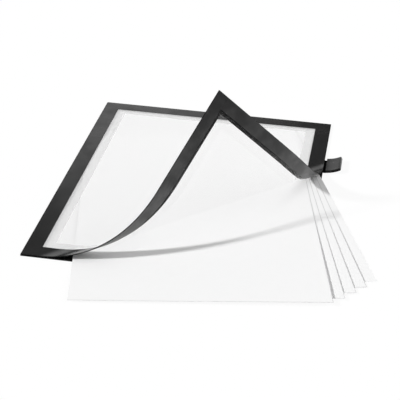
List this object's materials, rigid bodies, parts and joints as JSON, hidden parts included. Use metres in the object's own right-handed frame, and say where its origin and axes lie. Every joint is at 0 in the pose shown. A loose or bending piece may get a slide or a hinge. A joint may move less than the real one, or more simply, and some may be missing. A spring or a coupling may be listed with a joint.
{
  "type": "magnetic photo frame",
  "caption": "Flat black-bordered magnetic frame for A4 sheets, with a clear hinged cover whose corner peels up and blank sheets fanned out beneath it.",
  "frame": {"origin": "middle of the back of the frame, on the surface that it lies on or hangs against", "axes": "+X across the frame to the right, +Y up the frame, +Z out of its front"},
  "size_m": [0.2954, 0.3853, 0.1316],
  "materials": {
    "black_vinyl": "satin",
    "magnet_rubber": "satin",
    "black_gloss": "gloss",
    "clear_film": "gloss",
    "panel_film": "matte",
    "paper": "matte"
  },
  "bodies": {
    "base": {"back_panel": "panel_film", "base_strip_left": "magnet_rubber", "base_strip_top": "magnet_rubber", "base_strip_right": "magnet_rubber", "base_strip_bottom": "magnet_rubber", "hinge_spine": "black_vinyl", "grip_tab": "black_gloss"},
    "cover_hinged": {"window_hinged": "clear_film", "facing_left_hinged": "black_vinyl", "facing_top_hinged": "black_vinyl", "facing_right_hinged": "black_vinyl", "facing_bottom_hinged": "black_vinyl", "magnet_left_hinged": "magnet_rubber", "magnet_top_hinged": "magnet_rubber", "magnet_right_hinged": "magnet_rubber", "magnet_bottom_hinged": "magnet_rubber"},
    "cover_bend_1": {"window_bend_1": "clear_film", "facing_right_bend_1": "black_vinyl", "facing_bottom_bend_1": "black_vinyl", "magnet_right_bend_1": "magnet_rubber", "magnet_bottom_bend_1": "magnet_rubber"},
    "cover_bend_2": {"window_bend_2": "clear_film", "facing_right_bend_2": "black_vinyl", "facing_bottom_bend_2": "black_vinyl", "magnet_right_bend_2": "magnet_rubber", "magnet_bottom_bend_2": "magnet_rubber"},
    "cover_bend_3": {"window_bend_3": "clear_film", "facing_right_bend_3": "black_vinyl", "facing_bottom_bend_3": "black_vinyl", "magnet_right_bend_3": "magnet_rubber", "magnet_bottom_bend_3": "magnet_rubber"},
    "cover_bend_4": {"window_bend_4": "clear_film", "facing_right_bend_4": "black_vinyl", "facing_bottom_bend_4": "black_vinyl", "magnet_right_bend_4": "magnet_rubber", "magnet_bottom_bend_4": "magnet_rubber"},
    "cover_bend_5": {"window_bend_5": "clear_film", "facing_right_bend_5": "black_vinyl", "facing_bottom_bend_5": "black_vinyl", "magnet_right_bend_5": "magnet_rubber", "magnet_bottom_bend_5": "magnet_rubber"},
    "cover_corner": {"window_corner": "clear_film", "facing_right_corner": "black_vinyl", "facing_bottom_corner": "black_vinyl", "magnet_right_corner": "magnet_rubber", "magnet_bottom_corner": "magnet_rubber"},
    "sheet_1": {"sheet_1": "paper"},
    "sheet_2": {"sheet_2": "paper"},
    "sheet_3": {"sheet_3": "paper"},
    "sheet_4": {"sheet_4": "paper"},
    "sheet_5": {"sheet_5": "paper"}
  },
  "joints": [
    {"name": "cover_open", "type": "hinge", "parent": "base", "child": "cover_hinged", "pos_m": [-0.11775, 0, 0.0017], "axis": [0, -1, 0], "range_deg": [0, 110]},
    {"name": "corner_peel", "type": "hinge", "parent": "cover_hinged", "child": "cover_bend_1", "pos_m": [0.00687, -0.05605, 0.00178], "axis": [-0.6884, -0.7254, 0], "range_deg": [-16.25, 2]},
    {"name": "corner_bend_2", "type": "hinge", "parent": "cover_bend_1", "child": "cover_bend_2", "pos_m": [0.01718, -0.06583, 0.00592], "axis": [-0.6884, -0.7254, 0], "range_deg": [-16.25, 2]},
    {"name": "corner_bend_3", "type": "hinge", "parent": "cover_bend_2", "child": "cover_bend_3", "pos_m": [0.02624, -0.07442, 0.01387], "axis": [-0.6884, -0.7254, 0], "range_deg": [-16.25, 2]},
    {"name": "corner_bend_4", "type": "hinge", "parent": "cover_bend_3", "child": "cover_bend_4", "pos_m": [0.03331, -0.08114, 0.025], "axis": [-0.6884, -0.7254, 0], "range_deg": [-16.25, 2]},
    {"name": "corner_bend_5", "type": "hinge", "parent": "cover_bend_4", "child": "cover_bend_5", "pos_m": [0.03785, -0.08544, 0.03841], "axis": [-0.6884, -0.7254, 0], "range_deg": [-16.25, 2]},
    {"name": "corner_bend_6", "type": "hinge", "parent": "cover_bend_5", "child": "cover_corner", "pos_m": [0.03948, -0.08699, 0.05304], "axis": [-0.6884, -0.7254, 0], "range_deg": [-16.25, 2]},
    {"name": "sheet_1_fan", "type": "hinge", "parent": "base", "child": "sheet_1", "pos_m": [-0.1167, 0.068, 0.001], "axis": [0, 0, 1], "range_deg": [-10.7, 0]},
    {"name": "sheet_2_fan", "type": "hinge", "parent": "base", "child": "sheet_2", "pos_m": [-0.1167, 0.07, 0.00088], "axis": [0, 0, 1], "range_deg": [-12.7, 0]},
    {"name": "sheet_3_fan", "type": "hinge", "parent": "base", "child": "sheet_3", "pos_m": [-0.1167, 0.072, 0.00076], "axis": [0, 0, 1], "range_deg": [-14.7, 0]},
    {"name": "sheet_4_fan", "type": "hinge", "parent": "base", "child": "sheet_4", "pos_m": [-0.1167, 0.074, 0.00064], "axis": [0, 0, 1], "range_deg": [-16.7, 0]},
    {"name": "sheet_5_fan", "type": "hinge", "parent": "base", "child": "sheet_5", "pos_m": [-0.1167, 0.076, 0.00052], "axis": [0, 0, 1], "range_deg": [-18.7, 0]}
  ],
  "couplings": [
    {"joint": "corner_bend_2", "follows": "corner_peel", "ratio": 1},
    {"joint": "corner_bend_3", "follows": "corner_peel", "ratio": 1},
    {"joint": "corner_bend_4", "follows": "corner_peel", "ratio": 1},
    {"joint": "corner_bend_5", "follows": "corner_peel", "ratio": 1},
    {"joint": "corner_bend_6", "follows": "corner_peel", "ratio": 1}
  ]
}
